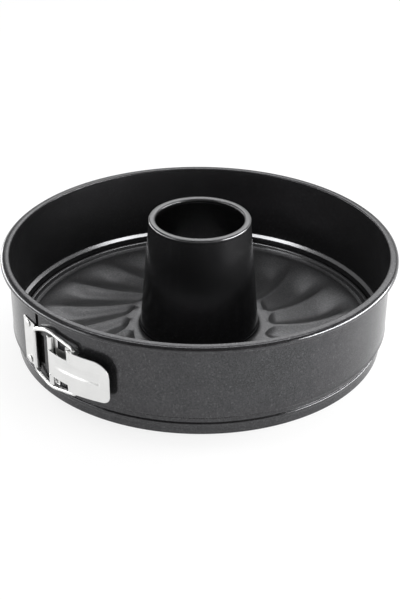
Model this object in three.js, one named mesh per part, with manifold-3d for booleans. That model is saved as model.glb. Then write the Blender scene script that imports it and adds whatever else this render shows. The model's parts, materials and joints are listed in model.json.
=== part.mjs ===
// Springform savarin pan: a sprung side band with a lever latch, a fluted base and a centre tube.
// Millimetres, +Z up. The origin is on the table under the tube's axis, and the latch faces -Y.
import * as THREE from "three";
import { mergeVertices } from "three/addons/utils/BufferGeometryUtils.js";
import Module from "manifold-3d";

const wasm = await Module();
wasm.setup();

// Shared sizes
const sheet = 0.7;
const seatGap = 0.3;
const bandColumns = 84;

// Side band
const wallRadius = 129.7;
const bandHeight = 67.8;
const rimWidth = 6.0;
const rimDepth = 4.2;
const rimRound = 2.0;
const rimTuck = 0.9;
const ledgeHeight = 15.2;
const neckDrop = 3.9;
const neckTop = 13.9;
const neckBottom = 8.8;
const skirtDrop = 3.3;
const skirtBead = 0.9;
const skirtBeadHeight = 2.4;
const hemReach = 3.8;
const slitWidth = 3.4;
const rimSlit = 0.6;
const slitTop = 61.0;
const tongueLap = 9.0;
const tongueRoot = 7.0;

// Base plate
const landHeight = 7.9;
const rimRise = 2.4;
const rimBorder = 3.6;
const rimSlope = 2.1;
const fluteCount = 18;
const fluteStations = 5;
const fluteRings = 9;
const fluteFromTube = 7.1;
const fluteBorder = 3.7;
const fluteNose = 7.0;
const fluteTail = 10.0;
const ridgeWidth = 0.7;
const troughDepth = 3.6;
const troughShape = 1.5;
const scoopDepth = 2.6;
const fluteSweep = 20.0;
const fluteBend = 0.55;
const flutePhase = 12.6;

// Centre tube
const tubeHeight = 87.9;
const tubeFootRadius = 41.9;
const tubeTopRadius = 34.8;
const beadWidth = 3.4;
const beadDepth = 3.2;
const footFlange = 4.0;
const collarProud = 1.2;
const collarHeight = 2.6;
const tubeColumns = 44;

// Latch
const latchMiddle = 33.5;
const latchHalfHeight = 17.75;
const wireRadius = 1.2;
const pinRadius = 1.1;
const pinClearance = 0.3;
const pinRecess = 1.0;
const runFromSeam = -3.45;
const hingeFromSeam = 17.2;
const earFromHinge = 20.2;
const earStandOff = 3.3;
const catchWidth = 18.7;
const hookHalfHeight = 13.4;
const hookLip = 30;
const hookShift = 0.3;
const upperKnuckleFrom = 8.5;
const lowerKnuckleFrom = -12.0;
const bracketReach = 20.0;
const bracketHalfHeight = 13.8;
const bracketShoulder = 5.0;
const rivetRadius = 1.5;
const rivetHeadRadius = 2.7;
const rivetHeadHeight = 0.9;
const catchRivetFromEdge = 7.5;
const catchRivetSpread = 13.2;
const bracketRivetFromHinge = 15.0;
const bracketRivetSpread = 9.0;
const leverHalfHeight = 15.0;
const leverReach = 53.0;
const leverTipStandOff = 7.6;
const leverStraight = 22.0;
const leverShoulder = 11.0;
const leverUpperCorner = 9.0;
const leverLowerCorner = 6.0;
const earWidth = 12.0;
const earDrop = 4.4;
const panelDepth = 0.4;
const panelTop = 7.0;
const panelBottom = -3.5;
const panelFromShoulder = 3.0;
const panelInset = 8.0;
const bailRunHalf = 15.0;
const bailArchHalf = 21.0;
const bailArchStandOff = 2.2;
const bailBend = 3.2;
const bailEarBend = 2.0;
const bailEnd = 3.6;

// Sizes worked out from the ones above
const wallInside = wallRadius - sheet;
const rimRadius = wallInside + rimWidth;
const neckRadius = wallRadius - neckDrop;
const skirtRadius = wallRadius - skirtDrop;
const neckInside = neckRadius - sheet;
const skirtInside = skirtRadius - sheet;
const plateRadius = neckInside - seatGap;
const rimLand = plateRadius - rimBorder;
const fluteStart = tubeFootRadius + fluteFromTube;
const fluteEnd = rimLand - fluteBorder;
const rimHeight = landHeight + rimRise;
const holeRadius = tubeFootRadius + seatGap;
const plateInner = wallRadius + seatGap;
const plateOuter = plateInner + sheet;
const boreRadius = pinRadius + pinClearance;
const knuckleRadius = boreRadius + sheet;
const earHole = wireRadius + pinClearance;
const pressedGap = seatGap / 2;

const degrees = THREE.MathUtils.degToRad;
const point = (x, y) => new THREE.Vector2(x, y);
const angleAt = (fromSeam, radius) => Math.asin(fromSeam / radius);
const around = (radius, angle) => point(radius * Math.sin(angle), -radius * Math.cos(angle));

// Solids

function welded(geometry) {
  geometry.deleteAttribute("normal");
  geometry.deleteAttribute("uv");
  const merged = mergeVertices(geometry, 1e-4);
  const place = merged.attributes.position;
  const corners = [0, 1, 2].map(() => new THREE.Vector3());
  const index = merged.index.array;
  const kept = [];
  let volume = 0;
  for (let i = 0; i < index.length; i += 3) {
    const triangle = [index[i], index[i + 1], index[i + 2]];
    if (new Set(triangle).size < 3) continue;
    triangle.forEach((vertex, corner) => corners[corner].fromBufferAttribute(place, vertex));
    volume += corners[0].dot(corners[1].cross(corners[2]));
    kept.push(triangle);
  }
  merged.setIndex(kept.flatMap((triangle) => (volume < 0 ? triangle.reverse() : triangle)));
  return merged;
}

function asSolid(geometry) {
  const closed = welded(geometry);
  const vertProperties = new Float32Array(closed.attributes.position.array);
  const triVerts = new Uint32Array(closed.index.array);
  return new wasm.Manifold(new wasm.Mesh({ numProp: 3, vertProperties, triVerts }));
}

function asGeometry(solid) {
  const mesh = solid.getMesh();
  const geometry = new THREE.BufferGeometry();
  geometry.setAttribute("position", new THREE.BufferAttribute(mesh.vertProperties, 3));
  geometry.setIndex(new THREE.BufferAttribute(mesh.triVerts, 1));
  return geometry;
}

const joined = (solids) => solids.reduce((whole, solid) => whole.add(solid));
const cutBy = (body, tools) => tools.reduce((left, tool) => left.subtract(tool), body);

function revolved(profile, segments) {
  return new THREE.LatheGeometry([...profile, profile[0]], segments).rotateX(Math.PI / 2);
}

// A plan outline raised between two heights.
function raised(outline, low, high) {
  const shape = Array.isArray(outline) ? new THREE.Shape(outline) : outline;
  const depth = high - low;
  const geometry = new THREE.ExtrudeGeometry(shape, { depth, bevelEnabled: false, curveSegments: 8 });
  return asSolid(geometry.translate(0, 0, low));
}

// A front-view outline pushed out of the latch side, from the pan's axis to well past the lever.
function frontPrism(outline) {
  const depth = rimRadius + leverReach;
  const geometry = new THREE.ExtrudeGeometry(outline, { depth, bevelEnabled: false, curveSegments: 6 });
  return asSolid(geometry.rotateX(Math.PI / 2));
}

function frontBox(left, right, low, high) {
  const corners = [point(left, low), point(right, low), point(right, high), point(left, high)];
  return frontPrism(new THREE.Shape(corners));
}

function arc(centre, radius, from, to, steps) {
  const turn = (i) => from + ((to - from) * i) / steps;
  const spot = (angle) => point(centre.x + radius * Math.cos(angle), centre.y + radius * Math.sin(angle));
  return Array.from({ length: steps + 1 }, (_, i) => spot(turn(i)));
}

function wallArc(radius, from, to, steps) {
  return Array.from({ length: steps + 1 }, (_, i) => around(radius, from + ((to - from) * i) / steps));
}

// A strip of sheet that follows the wall, seen in plan.
function wallStrip(inner, outer, from, to, steps) {
  return [...wallArc(outer, from, to, steps), ...wallArc(inner, to, from, steps)];
}

function disc(centre, radius) {
  return new THREE.Shape().absarc(centre.x, centre.y, radius, 0, 2 * Math.PI, false);
}

function ring(centre, inner, outer) {
  const shape = disc(centre, outer);
  shape.holes.push(new THREE.Path().absarc(centre.x, centre.y, inner, 0, 2 * Math.PI, true));
  return shape;
}

// A round hole through the wall and what is riveted to it, square to the wall.
function wallDrill(radius, angle, height) {
  const length = 4 * rivetHeadRadius;
  const drill = new THREE.CylinderGeometry(radius, radius, length, 12);
  return asSolid(drill.translate(0, -wallRadius, 0).rotateZ(angle).translate(0, 0, height));
}

// Places on the latch, seen in plan
const hookAngle = angleAt(runFromSeam, wallRadius);
const hingeAngle = angleAt(hingeFromSeam, wallRadius);
const earAngle = angleAt(hingeFromSeam + earFromHinge, wallRadius);
const run = around(plateOuter + seatGap + wireRadius, hookAngle);
const hinge = around(plateInner + knuckleRadius, hingeAngle);
const ear = around(wallRadius + earStandOff, earAngle);
const catchEdge = hookAngle - (catchWidth - hookShift) / wallRadius;
const catchRivetAngle = catchEdge + catchRivetFromEdge / wallRadius;
const bracketEdge = hingeAngle + bracketReach / wallRadius;
const bracketRivetAngle = hingeAngle + bracketRivetFromHinge / wallRadius;
const catchRivetHeights = [latchMiddle + catchRivetSpread, latchMiddle - catchRivetSpread];
const bracketRivetHeights = [latchMiddle + bracketRivetSpread, latchMiddle - bracketRivetSpread];
const rivetPlaces = [
  ...catchRivetHeights.map((height) => ({ angle: catchRivetAngle, height })),
  ...bracketRivetHeights.map((height) => ({ angle: bracketRivetAngle, height })),
];
const rivetHole = rivetRadius + pressedGap;
const rivetDrills = rivetPlaces.map(({ angle, height }) => wallDrill(rivetHole, angle, height));

// Side band: one strip of sheet with a rolled rim, a ledge and a neck above the base's edge, a beaded
// skirt and an inward hem.

function bandProfile() {
  const rimUnder = bandHeight - rimDepth;
  const beadFoot = neckBottom - skirtBead - skirtBeadHeight;
  return [
    point(skirtRadius - hemReach, 0),
    point(skirtRadius - sheet, 0),
    point(skirtRadius, sheet),
    point(skirtRadius, beadFoot),
    point(skirtRadius + skirtBead, beadFoot + skirtBead),
    point(skirtRadius + skirtBead, neckBottom - skirtBead),
    point(neckRadius, neckBottom),
    point(neckRadius, neckTop),
    point(wallRadius - sheet, ledgeHeight - sheet),
    point(wallRadius, ledgeHeight),
    point(wallRadius, rimUnder),
    point(rimRadius - rimTuck, rimUnder),
    point(rimRadius, rimUnder + rimTuck),
    point(rimRadius, bandHeight - rimRound),
    point(rimRadius - rimRound, bandHeight),
    point(wallInside + sheet, bandHeight),
    point(wallInside, bandHeight - sheet),
    point(wallInside, ledgeHeight + sheet),
    point(wallInside - sheet, ledgeHeight),
    point(neckInside, neckTop + sheet),
    point(neckInside, neckBottom - sheet),
    point(skirtInside, beadFoot + sheet),
    point(skirtInside, sheet),
    point(skirtRadius - hemReach, sheet),
  ];
}

function sideBand() {
  const half = slitWidth / 2;
  const slit = frontBox(-half, half, -sheet, slitTop);
  const rimCut = frontBox(-rimSlit / 2, rimSlit / 2, 0, bandHeight + sheet);
  const lapOuter = wallInside - seatGap;
  const lapInner = lapOuter - sheet;
  const lapEnd = (half + tongueLap) / wallInside;
  const rootStart = half / wallInside;
  const rootEnd = rootStart + tongueRoot / wallInside;
  const low = ledgeHeight + 2 * sheet;
  const tongue = raised(wallStrip(lapInner, lapOuter, -lapEnd, rootEnd, 6), low, slitTop);
  const root = raised(wallStrip(lapInner, wallInside + sheet / 2, rootStart, rootEnd, 3), low, slitTop);
  const strip = cutBy(asSolid(revolved(bandProfile(), bandColumns)), [slit, rimCut]);
  return asGeometry(cutBy(joined([strip, tongue, root]), rivetDrills));
}

// Base plate: the sheet is spun with its raised edge and hem. Swirl flutes are pressed into it side by
// side, each a scoop between two ridges, and the ridges sag towards the middle of their run.

const plateColumns = fluteCount * fluteStations;
const flutePitch = (2 * Math.PI) / fluteCount;
const share = (value, whole) => THREE.MathUtils.clamp(value / whole, 0, 1);
const roundedEnd = (value) => Math.sqrt(value * (2 - value));

function pressFlute(radius, column) {
  const along = share(radius - fluteStart, fluteEnd - fluteStart);
  const nose = roundedEnd(share(radius - fluteStart, fluteNose));
  const tail = roundedEnd(share(fluteEnd - radius, fluteTail));
  const opened = nose * tail;
  const flute = Math.floor(column / fluteStations);
  const across = (2 * (column % fluteStations)) / (fluteStations - 1) - 1;
  const plain = (flutePitch * (fluteStations - 1)) / (2 * fluteStations);
  const scooped = opened * (flutePitch / 2 - ridgeWidth / (2 * radius));
  const sweep = degrees(flutePhase + fluteSweep * along ** fluteBend);
  const sag = troughDepth * (4 * along * (1 - along)) ** troughShape;
  return {
    angle: flute * flutePitch + sweep + across * (opened > 0 ? scooped : plain),
    drop: sag + scoopDepth * opened * (1 - across ** 2),
  };
}

function plateProfile() {
  const eased = (i) => (1 - Math.cos((Math.PI * i) / fluteRings)) / 2;
  const radiusOf = (i) => THREE.MathUtils.lerp(fluteStart, fluteEnd, eased(i));
  const fluted = Array.from({ length: fluteRings + 1 }, (_, i) => radiusOf(i));
  const under = landHeight - sheet;
  const hemBottom = sheet + seatGap;
  const rimStart = rimLand + rimSlope;
  return [
    point(holeRadius, landHeight),
    ...fluted.map((radius) => point(radius, landHeight)),
    point(rimLand, landHeight),
    point(rimStart, rimHeight),
    point(plateRadius - sheet, rimHeight),
    point(plateRadius, rimHeight - sheet),
    point(plateRadius, hemBottom),
    point(plateRadius - sheet, hemBottom),
    point(plateRadius - sheet, rimHeight - 2 * sheet),
    point(rimStart + sheet / 2, rimHeight - sheet),
    point(rimLand + sheet / 2, under),
    ...fluted.toReversed().map((radius) => point(radius, under)),
    point(holeRadius, under),
  ];
}

function basePlate() {
  const profile = plateProfile();
  const geometry = revolved(profile, plateColumns);
  const place = geometry.attributes.position;
  const stationsRound = profile.length + 1;
  for (let i = 0; i < place.count; i += 1) {
    const column = Math.floor(i / stationsRound) % plateColumns;
    const radius = profile[i % stationsRound]?.x ?? profile[0].x;
    const { angle, drop } = pressFlute(radius, column);
    place.setXYZ(i, radius * Math.cos(angle), radius * Math.sin(angle), place.getZ(i) - drop);
  }
  return welded(geometry);
}

// Centre tube: a tapered tube with a beaded mouth. Its foot holds the plate's hole edge between a flange
// below and a collar above.

function centreTube() {
  const flangeTop = landHeight - sheet - seatGap;
  const flangeBottom = flangeTop - sheet;
  const beadBottom = tubeHeight - beadDepth;
  const beadInner = tubeTopRadius - beadWidth;
  const beadRound = beadWidth / 4;
  const collarFoot = landHeight + seatGap;
  const collarTop = collarFoot + collarHeight;
  return welded(revolved([
    point(tubeFootRadius + footFlange, flangeBottom),
    point(tubeFootRadius + footFlange, flangeTop),
    point(tubeFootRadius, flangeTop),
    point(tubeFootRadius, collarFoot),
    point(tubeFootRadius + collarProud, collarFoot),
    point(tubeFootRadius + collarProud, collarTop - collarProud),
    point(tubeFootRadius, collarTop),
    point(tubeTopRadius, beadBottom),
    point(tubeTopRadius, tubeHeight - beadRound),
    point(tubeTopRadius - beadRound, tubeHeight),
    point(beadInner + beadRound, tubeHeight),
    point(beadInner, tubeHeight - beadRound),
    point(beadInner, beadBottom + beadRound),
    point(tubeTopRadius - sheet, beadBottom - beadRound),
    point(tubeFootRadius - sheet, collarTop),
    point(tubeFootRadius - sheet, flangeBottom),
  ], tubeColumns));
}

// Catch plate: riveted to the left end of the band, its right edge curled into a hook for the bail.

function catchPlate() {
  const low = latchMiddle - latchHalfHeight;
  const high = latchMiddle + latchHalfHeight;
  const hookEnd = hookAngle + hookShift / wallRadius;
  const centre = around(plateOuter + seatGap + wireRadius, hookEnd);
  const inside = wireRadius + seatGap;
  const start = hookEnd + Math.PI / 2;
  const finish = hookEnd - degrees(hookLip);
  const curl = [
    ...arc(centre, inside + sheet, start, finish, 10),
    ...arc(centre, inside, finish, start, 10),
  ];
  const strip = raised(wallStrip(plateInner, plateOuter, catchEdge, hookEnd, 6), low, high);
  const hook = raised(curl, latchMiddle - hookHalfHeight, latchMiddle + hookHalfHeight);
  const cornerLeft = runFromSeam - wireRadius - seatGap;
  const above = frontBox(cornerLeft, slitWidth, latchMiddle + hookHalfHeight, high + sheet);
  const below = frontBox(cornerLeft, slitWidth, low - sheet, latchMiddle - hookHalfHeight);
  return asGeometry(cutBy(joined([strip, hook]), [above, below, ...rivetDrills.slice(0, 2)]));
}

// Lever bracket: riveted to the right end of the band, with two knuckles for the hinge pin.

function leverBracket() {
  const low = latchMiddle - latchHalfHeight;
  const high = latchMiddle + latchHalfHeight;
  const shoulderEnd = hingeAngle + bracketShoulder / wallRadius;
  const clearOfLever = hinge.x + knuckleRadius + seatGap;
  const lowerTop = latchMiddle + lowerKnuckleFrom;
  const upperBottom = latchMiddle + upperKnuckleFrom;
  const shoulder = raised(wallStrip(plateInner, plateOuter, hingeAngle, shoulderEnd, 3), low, high);
  const leaf = raised(
    wallStrip(plateInner, plateOuter, hingeAngle, bracketEdge, 6),
    latchMiddle - bracketHalfHeight,
    latchMiddle + bracketHalfHeight,
  );
  const knuckles = raised(ring(hinge, boreRadius, knuckleRadius), low, high);
  const bore = raised(disc(hinge, boreRadius), low, high);
  const leverGap = frontBox(-clearOfLever, clearOfLever, lowerTop, upperBottom);
  return asGeometry(cutBy(joined([shoulder, leaf, knuckles]), [bore, leverGap, ...rivetDrills.slice(2)]));
}

// Rivet: a low head outside, a shank through the plate and the wall, and a flattened head inside.
function rivet() {
  const outerSeat = plateOuter + seatGap;
  const innerSeat = wallInside - seatGap;
  const profile = [
    point(0, innerSeat - sheet),
    point(rivetHeadRadius - sheet / 2, innerSeat - sheet),
    point(rivetHeadRadius, innerSeat),
    point(rivetRadius, innerSeat),
    point(rivetRadius, outerSeat),
    point(rivetHeadRadius, outerSeat),
    point(rivetHeadRadius * 0.8, outerSeat + rivetHeadHeight * 0.6),
    point(rivetHeadRadius * 0.4, outerSeat + rivetHeadHeight),
    point(0, outerSeat + rivetHeadHeight),
  ];
  return welded(new THREE.LatheGeometry(profile, 12).rotateX(Math.PI));
}

// Hinge pin: a plain pin through the three knuckles, with its chamfered ends set back inside them.
function hingePin() {
  const half = latchHalfHeight - pinRecess;
  const chamfer = pinRadius / 4;
  return welded(new THREE.LatheGeometry([
    point(0, -half),
    point(pinRadius - chamfer, -half),
    point(pinRadius, chamfer - half),
    point(pinRadius, half - chamfer),
    point(pinRadius - chamfer, half),
    point(0, half),
  ], 16).rotateX(Math.PI / 2));
}

// Lever: a bowed plate that leaves the outer side of its knuckle, with a panel pressed into its face and
// an ear folded in at each edge.

const leverRoot = point(hinge.x, hinge.y - knuckleRadius + sheet / 2);
const leverTipRadius = wallRadius + leverTipStandOff;
const leverTip = around(leverTipRadius, hingeAngle + leverReach / leverTipRadius);
const leverAim = point(leverRoot.x + leverStraight, leverRoot.y);
const leverBow = new THREE.QuadraticBezierCurve(leverRoot, leverAim, leverTip);

// A strip along the lever's bow, between two offsets from its middle, the inner one first.
function bowStrip(inward, outward, steps) {
  const side = (t, offset) => {
    const spot = leverBow.getPoint(t);
    const along = leverBow.getTangent(t);
    return point(spot.x + along.y * offset, spot.y - along.x * offset);
  };
  const shares = Array.from({ length: steps + 1 }, (_, i) => i / steps);
  return [
    ...shares.map((t) => side(t, outward)),
    ...shares.toReversed().map((t) => side(t, -inward)),
  ];
}

function leverOutline() {
  const top = latchMiddle + leverHalfHeight;
  const bottom = latchMiddle - leverHalfHeight;
  const tongueTop = latchMiddle + upperKnuckleFrom - seatGap;
  const tongueBottom = latchMiddle + lowerKnuckleFrom + seatGap;
  const shoulder = hinge.x + leverShoulder;
  const end = leverTip.x;
  const outline = new THREE.Shape();
  outline.moveTo(hinge.x - knuckleRadius, tongueBottom);
  outline.lineTo(shoulder, tongueBottom);
  outline.lineTo(shoulder, bottom);
  outline.lineTo(end - leverLowerCorner, bottom);
  outline.absarc(end - leverLowerCorner, bottom + leverLowerCorner, leverLowerCorner, -Math.PI / 2, 0, false);
  outline.lineTo(end, top - leverUpperCorner);
  outline.absarc(end - leverUpperCorner, top - leverUpperCorner, leverUpperCorner, 0, Math.PI / 2, false);
  outline.lineTo(shoulder, top);
  outline.lineTo(shoulder, tongueTop);
  outline.lineTo(hinge.x - knuckleRadius, tongueTop);
  return outline;
}

function lever() {
  const top = latchMiddle + leverHalfHeight;
  const bottom = latchMiddle - leverHalfHeight;
  const tongueTop = latchMiddle + upperKnuckleFrom - seatGap;
  const tongueBottom = latchMiddle + lowerKnuckleFrom + seatGap;
  const half = sheet / 2;
  const panelZone = frontBox(
    hinge.x + leverShoulder + panelFromShoulder,
    leverTip.x - panelInset,
    latchMiddle + panelBottom,
    latchMiddle + panelTop,
  );
  const flat = raised(bowStrip(half, half, 12), bottom, top).intersect(frontPrism(leverOutline()));
  const pressed = raised(bowStrip(half + panelDepth, half - panelDepth, 12), bottom, top);
  const plate = flat.subtract(panelZone).add(pressed.intersect(panelZone));
  const knuckle = raised(ring(hinge, boreRadius, knuckleRadius), tongueBottom, tongueTop);
  const bore = raised(disc(hinge, boreRadius), bottom, top);
  const earZone = frontBox(ear.x - earWidth / 2, ear.x + earWidth / 2, bottom, top);
  const web = raised(bowStrip(earDrop + half, half, 12), bottom, top).intersect(earZone);
  const between = raised(bowStrip(2 * earDrop, -half, 12), bottom + sheet, top - sheet);
  const ears = web.subtract(between);
  const earBore = raised(disc(ear, earHole), bottom, top);
  return asGeometry(cutBy(joined([plate, knuckle, ears]), [bore, earBore]));
}

// Wire bail: one bent wire, hooked in the catch plate and turned into the lever's ears.

function bailRoute() {
  const earHeight = leverHalfHeight + seatGap + wireRadius;
  const arch = around(wallRadius + bailArchStandOff, hingeAngle);
  const upper = [
    [ear, earHeight - bailEnd],
    [ear, earHeight],
    [arch, bailArchHalf],
    [run, bailRunHalf],
  ];
  const lower = upper.toReversed().map(([spot, height]) => [spot, -height]);
  return [...upper, ...lower].map(([spot, rise]) => new THREE.Vector3(spot.x, spot.y, latchMiddle + rise));
}

function bentWire(corners) {
  const path = new THREE.CurvePath();
  const lastBend = corners.length - 2;
  let last = corners[0];
  for (let i = 1; i <= lastBend; i += 1) {
    const bend = i === 1 || i === lastBend ? bailEarBend : bailBend;
    const before = corners[i].clone().add(corners[i - 1].clone().sub(corners[i]).setLength(bend));
    const after = corners[i].clone().add(corners[i + 1].clone().sub(corners[i]).setLength(bend));
    path.add(new THREE.LineCurve3(last, before));
    path.add(new THREE.QuadraticBezierCurve3(before, corners[i], after));
    last = after;
  }
  path.add(new THREE.LineCurve3(last, corners.at(-1)));
  return path;
}

function wireBail() {
  const section = disc(point(0, 0), wireRadius);
  const path = bentWire(bailRoute());
  return welded(new THREE.ExtrudeGeometry(section, { steps: 72, extrudePath: path, curveSegments: 4 }));
}

// Assembly

const coated = { color: 0x2b2b2d, roughness: 0.42, metalness: 0.6 };
const coatedBase = { color: 0x363638, roughness: 0.38, metalness: 0.6 };
const tinned = { color: 0xd6d6d2, roughness: 0.24, metalness: 1.0 };

function piece(name, geometry, finish) {
  const mesh = new THREE.Mesh(geometry, new THREE.MeshStandardMaterial(finish));
  mesh.name = name;
  return mesh;
}

const pan = new THREE.Group();
pan.add(piece("side_band", sideBand(), coated));
pan.add(piece("base_plate", basePlate(), coatedBase));
pan.add(piece("centre_tube", centreTube(), coated));
pan.add(piece("catch_plate", catchPlate(), tinned));
pan.add(piece("lever_bracket", leverBracket(), tinned));
pan.add(piece("lever", lever(), tinned));
pan.add(piece("wire_bail", wireBail(), tinned));

const pin = piece("hinge_pin", hingePin(), tinned);
pin.position.set(hinge.x, hinge.y, latchMiddle);
pan.add(pin);

const rivetNames = ["catch_rivet_upper", "catch_rivet_lower", "bracket_rivet_upper", "bracket_rivet_lower"];
rivetNames.forEach((name, i) => {
  const fastener = piece(name, rivet(), tinned);
  fastener.rotation.z = rivetPlaces[i].angle;
  fastener.position.z = rivetPlaces[i].height;
  pan.add(fastener);
});

export default pan;
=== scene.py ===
# Springform savarin pan: smooth pressed-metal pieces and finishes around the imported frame.
# Sizes in the dictionaries are millimetres and degrees; meshes are in metres, in the frame's own axes.
import json
import math

import bpy
import numpy as np
from mathutils import Matrix, Vector


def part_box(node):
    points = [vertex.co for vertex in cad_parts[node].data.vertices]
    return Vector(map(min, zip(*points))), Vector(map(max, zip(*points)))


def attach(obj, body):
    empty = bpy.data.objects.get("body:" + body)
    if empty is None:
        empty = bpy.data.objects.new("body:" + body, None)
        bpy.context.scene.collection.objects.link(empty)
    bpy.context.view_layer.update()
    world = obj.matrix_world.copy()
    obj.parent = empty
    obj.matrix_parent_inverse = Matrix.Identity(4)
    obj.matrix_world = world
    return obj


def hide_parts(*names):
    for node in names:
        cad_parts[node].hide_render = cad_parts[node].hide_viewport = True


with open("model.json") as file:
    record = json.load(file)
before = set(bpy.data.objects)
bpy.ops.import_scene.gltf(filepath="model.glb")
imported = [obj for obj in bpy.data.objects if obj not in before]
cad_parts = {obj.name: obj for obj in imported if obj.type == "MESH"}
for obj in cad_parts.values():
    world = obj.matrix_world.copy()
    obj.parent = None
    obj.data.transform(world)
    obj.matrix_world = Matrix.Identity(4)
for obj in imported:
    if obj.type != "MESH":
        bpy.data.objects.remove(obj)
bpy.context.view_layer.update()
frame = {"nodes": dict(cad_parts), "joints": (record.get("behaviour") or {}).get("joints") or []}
mm = 0.001
scene = bpy.context.scene
joints = {joint["name"]: joint for joint in frame["joints"]}
print("frame loaded:", len(frame["nodes"]), "nodes")


def nodeBox(node):
    low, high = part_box(node)
    return low / mm, high / mm


class Term:  # a node's socket, which can stand in a sum
    def __init__(self, tree, socket):
        self.tree = tree
        self.socket = socket

    def do(self, operation, *others):
        return self.tree.add("ShaderNodeMath", {"operation": operation}, [self, *others])

    def __add__(self, other):
        return self.do("ADD", other)

    def __radd__(self, other):
        return self.do("ADD", other)

    def __sub__(self, other):
        return self.do("SUBTRACT", other)

    def __rsub__(self, other):
        return self.tree.add("ShaderNodeMath", {"operation": "SUBTRACT"}, [other, self])

    def __mul__(self, other):
        return self.do("MULTIPLY", other)

    def __rmul__(self, other):
        return self.do("MULTIPLY", other)

    def __truediv__(self, other):
        return self.do("DIVIDE", other)

    def __rtruediv__(self, other):
        return self.tree.add("ShaderNodeMath", {"operation": "DIVIDE"}, [other, self])

    def __pow__(self, other):
        return self.do("POWER", other)

    def between(self, low, high):
        return self.do("MAXIMUM", low).do("MINIMUM", high)

    def out(self, name):
        return Term(self.tree, self.tree.named(self.socket.node.outputs, name))


class Tree:
    def __init__(self, nodeTree):
        self.nodeTree = nodeTree

    @staticmethod
    def named(sockets, name):
        if isinstance(name, int):
            return sockets[name]
        return next(socket for socket in sockets if socket.enabled and socket.name == name)

    def add(self, kind, settings=None, sockets=None):
        node = self.nodeTree.nodes.new(kind)
        for name, value in (settings or {}).items():
            setattr(node, name, value)
        pairs = sockets.items() if isinstance(sockets, dict) else enumerate(sockets or [])
        for name, value in pairs:
            socket = self.named(node.inputs, name)
            if isinstance(value, Term):
                self.nodeTree.links.new(value.socket, socket)
            else:
                socket.default_value = value
        shown = [socket for socket in node.outputs if socket.enabled]
        return Term(self, shown[0]) if shown else node


# Finishes

coatLook = {
    "dark": (0.036, 0.036, 0.038, 1),
    "light": (0.082, 0.082, 0.085, 1),
    "fleck": (0.2, 0.2, 0.205, 1),
    "metallic": 0.75,
    "roughness": 0.21,
    "grainSize": 1.1,
    "mottleSize": 14.0,
    "cloudSize": 70.0,
    "grainTone": 2.0,
    "mottleTone": 0.5,
    "cloudTone": 0.5,
    "mottleGloss": 0.06,
    "cloudGloss": 0.05,
    "fleckFrom": 0.62,
    "fleckSharp": 9.0,
    "fleckShare": 0.35,
    "fleckGloss": 0.05,
    "grainDepth": 0.02,
    "grainStrength": 0.5,
}
ledgeHighlight = {  # painted highlight: a lighter, glossier tone where the ledge catches light, by height and by distance from the middle
    "low": 13.9,
    "high": 15.8,
    "inner": 0.0,
    "outer": 129.2,
    "fade": 0.3,
    "tone": (0.32, 0.32, 0.328, 1),
    "roughness": 0.21,
}
# painted highlight: a lighter tone along the base plate's raised rim edge, where it catches light
plateRimHighlight = {
    "low": 7.0,
    "high": 12.0,
    "inner": 120.4,
    "outer": 140.0,
    "fade": 0.4,
    "tone": (0.18, 0.18, 0.184, 1),
    "roughness": 0.2,
}
# painted highlight: a lighter tone on the tube's mouth bead, where it catches light
mouthHighlight = {
    "low": 85.9,
    "high": 100.0,
    "inner": 0.0,
    "outer": 140.0,
    "fade": 0.5,
    "tone": (0.115, 0.115, 0.118, 1),
    "roughness": 0.24,
}
baseLook = {
    **coatLook,
    "dark": (0.07, 0.07, 0.072, 1),
    "light": (0.13, 0.13, 0.134, 1),
    "metallic": 0.8,
    "roughness": 0.38,
    "grainDepth": 0.003,
}
tubeLook = {
    **coatLook,
    "dark": (0.036, 0.036, 0.038, 1),
    "light": (0.066, 0.066, 0.068, 1),
    "metallic": 0.83,
    "roughness": 0.22,
}
tinLook = {
    "dark": (0.72, 0.72, 0.715, 1),
    "light": (0.8, 0.8, 0.79, 1),
    "roughness": 0.3,
    "streakSize": 0.8,
    "streakStretch": 16.0,
    "cloudSize": 9.0,
    "cloudTone": 1.2,
    "streakTone": 0.8,
    "cloudGloss": 0.1,
    "streakGloss": 0.08,
    "scratchDepth": 0.003,
    "scratchStrength": 0.35,
}


def newMaterial(name):
    material = bpy.data.materials.new(name)
    material.use_nodes = True
    material.node_tree.nodes.clear()
    return material, Tree(material.node_tree)


def noise(tree, place, size, detail=3.0, roughness=0.55):
    sizes = {"Vector": place, "Scale": 1 / (size * mm), "Detail": detail, "Roughness": roughness}
    return tree.add("ShaderNodeTexNoise", {"noise_dimensions": "3D"}, sizes)


def mixed(tree, share, first, second):
    return tree.add("ShaderNodeMix", {"data_type": "RGBA"}, {"Factor": share, "A": first, "B": second})


def shaded(material, tree, sockets):
    shader = tree.add("ShaderNodeBsdfPrincipled", None, sockets)
    tree.add("ShaderNodeOutputMaterial", None, {"Surface": shader})
    return material


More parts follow.
